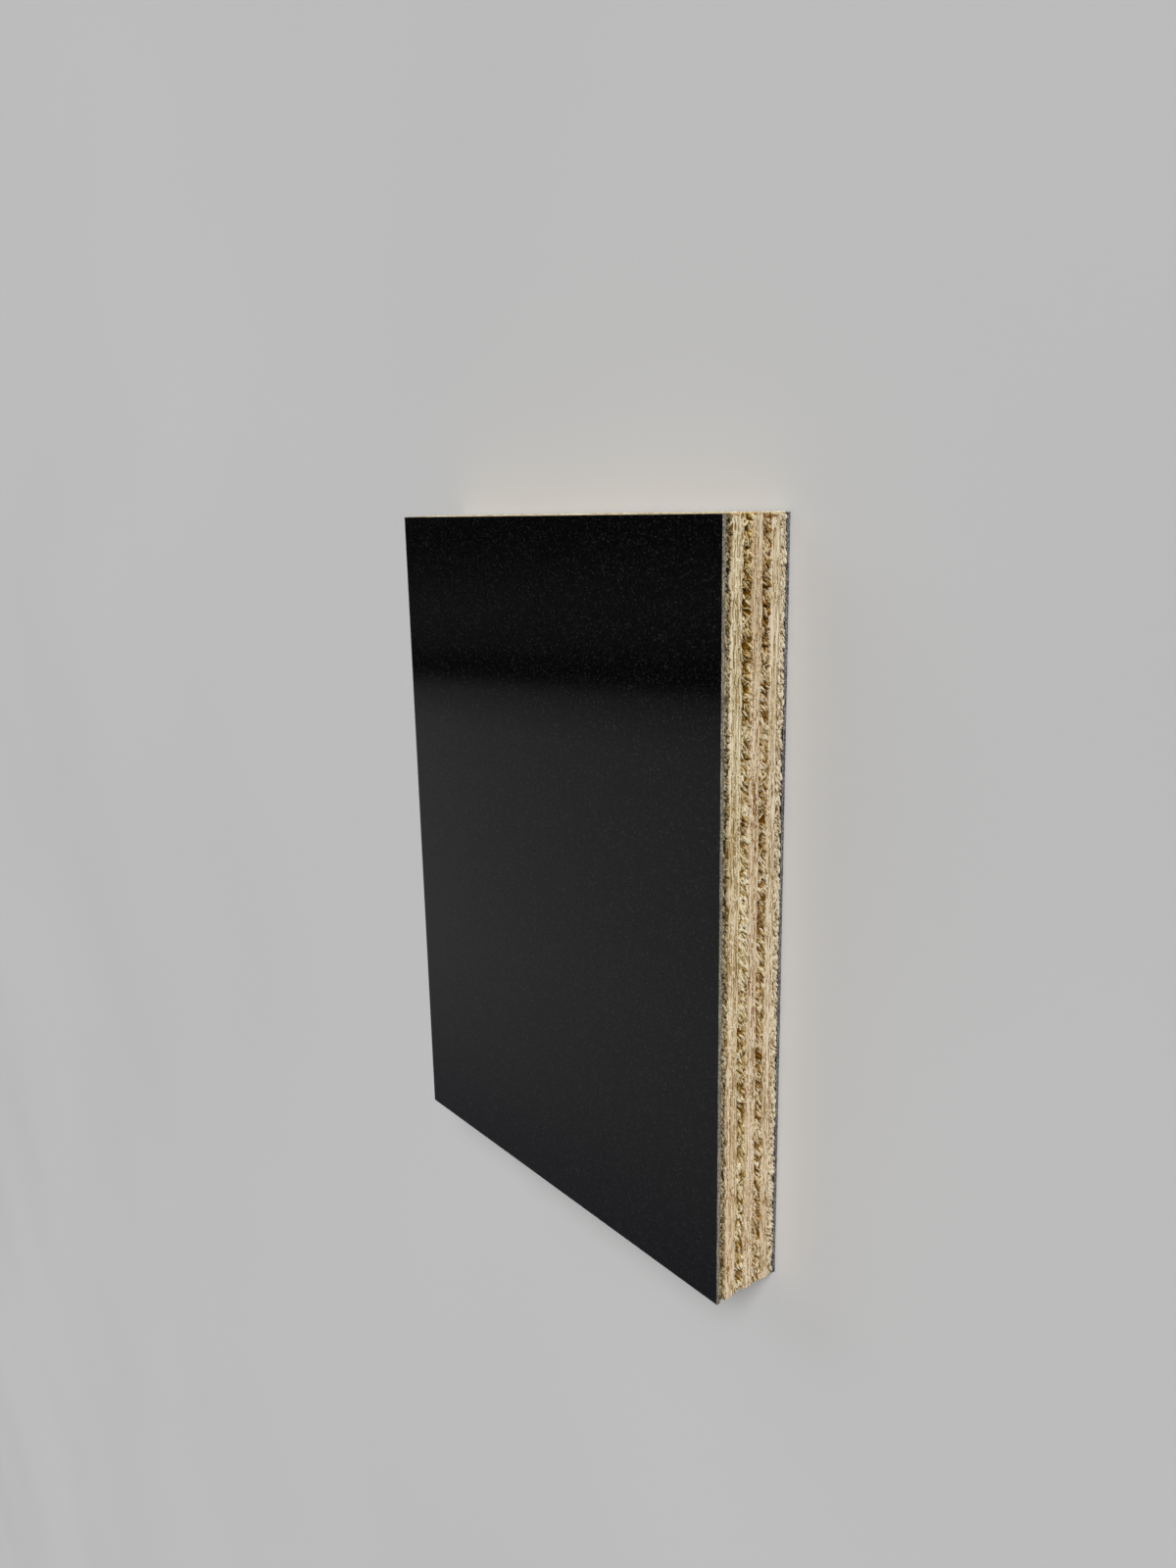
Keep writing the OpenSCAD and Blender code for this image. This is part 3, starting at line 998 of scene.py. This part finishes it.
def pale_floor():
    """Matt, pale grey paper with a barely visible unevenness."""
    material, tree, place = blank("pale_matt_paper")
    cloud = add(tree, "TexNoise", [("Vector", place), ("Scale", per(CLOUD_SIZE))])
    colour = add(tree, "ValToRGB", [("Fac", cloud)], zip(NOISE, CLOUD_GREYS))
    shader = add(tree, "BsdfPrincipled", [("Base Color", colour), ("Roughness", FLOOR_ROUGH),
                                          ("Specular IOR Level", FLOOR_SPECULAR)])
    add(tree, "OutputMaterial", [("Surface", shader)])
    return material


floor_mesh = bpy.data.meshes.new("floor")
corners = [(x * FLOOR_HALF, y * FLOOR_HALF, 0) for x, y in ((-1, -1), (1, -1), (1, 1), (-1, 1))]
floor_mesh.from_pydata(corners, [], [(0, 1, 2, 3)])
floor_mesh.materials.append(pale_floor())
floor = bpy.data.objects.new("floor", floor_mesh)
bpy.context.scene.collection.objects.link(floor)
print(f"floor: {2 * FLOOR_HALF:.0f} m square")

# %% [markdown]
# ## Lamps
# A broad, soft key light comes from above the sawn edge, and a weaker fill from the other side. Distant
# lamps do for both, each as soft as a panel that looks so many degrees wide. They are hidden from
# reflections, because the black face is a dark mirror and should show only the room.

# %% Hang the lamps
# Where each lamp shines from, its strength, and how many degrees wide it looks.
LAMPS = {"key": ((0.8, 0.85, 1.0), 2.5, 30), "fill": ((-1.0, 0.8, 0.5), 0.5, 50)}

for name, (toward, strength, width) in LAMPS.items():
    lamp = bpy.data.lights.new(name, "SUN")
    lamp.energy = strength
    lamp.angle = math.radians(width)
    holder = bpy.data.objects.new(name, lamp)
    holder.matrix_world = look(Vector(toward), Vector((0, 0, 0)), Vector((0, 0, 1)), 0)
    holder.visible_glossy = False
    bpy.context.scene.collection.objects.link(holder)
    print(f"{name}: strength {strength}, {width} degrees wide")

# %% [markdown]
# ## Room
# What the face mirrors is a pale wall, in its lower part, and the dark room above that wall, in its top.
# All those borders run along the sheet's width, so the room is painted by one number, how steeply a
# direction leans along Y: its Y share over its Z share, with a little skew. The camera itself is shown
# a plain backdrop instead, so that a low view isn't crossed by the painted borders.

# %% Paint the room
ROOM_SKEW = -0.07
HORIZON = 0.01
ROOM_LOW, ROOM_HIGH = -1.2, 0.2
ROOM_STOPS = [
    (0.11, "#606065"), (0.205, "#717175"), (0.31, "#858586"), (0.43, "#90908f"), (0.63, "#8e8e8d"),
    (0.69, "#8b8b89"), (0.715, "#7c7c7a"), (0.742, "#626260"), (0.752, "#1c1c1b"), (0.77, "#1a1a1a"),
    (0.79, "#3a3a39"), (0.83, "#434343"), (0.89, "#282828"), (0.92, "#1c1c1c"), (0.98, "#3a3a3a")]
BACKDROP = "#c4c4c4"

world = bpy.data.worlds.new("room")
world.use_nodes = True
room = world.node_tree
room.nodes.clear()
around = add(room, "TexCoord", out="Generated")
x, y, z = add(room, "SeparateXYZ", [("Vector", around)]).node.outputs
skewed = add(room, "Math", [(0, x), (1, ROOM_SKEW), (2, y)], operation="MULTIPLY_ADD")
upward = add(room, "Math", [(0, z), (1, HORIZON)], operation="MAXIMUM")
lean = add(room, "Math", [(0, skewed), (1, upward)], operation="DIVIDE")
turn = add(room, "MapRange", enumerate((lean, ROOM_LOW, ROOM_HIGH)))
glow = add(room, "ValToRGB", [("Fac", turn)], ROOM_STOPS)
by_camera = add(room, "LightPath", out="Is Camera Ray")
shown = add(room, "Mix", [("Factor", by_camera), (MIX_A, glow), (MIX_B, linear(BACKDROP))], **MIX_COLOURS)
add(room, "OutputWorld", [("Surface", add(room, "Background", [("Color", shown)]))])
bpy.context.scene.world = world
bpy.context.scene.view_settings.view_transform = "Standard"
print("the room is painted in", len(ROOM_STOPS), "greys")
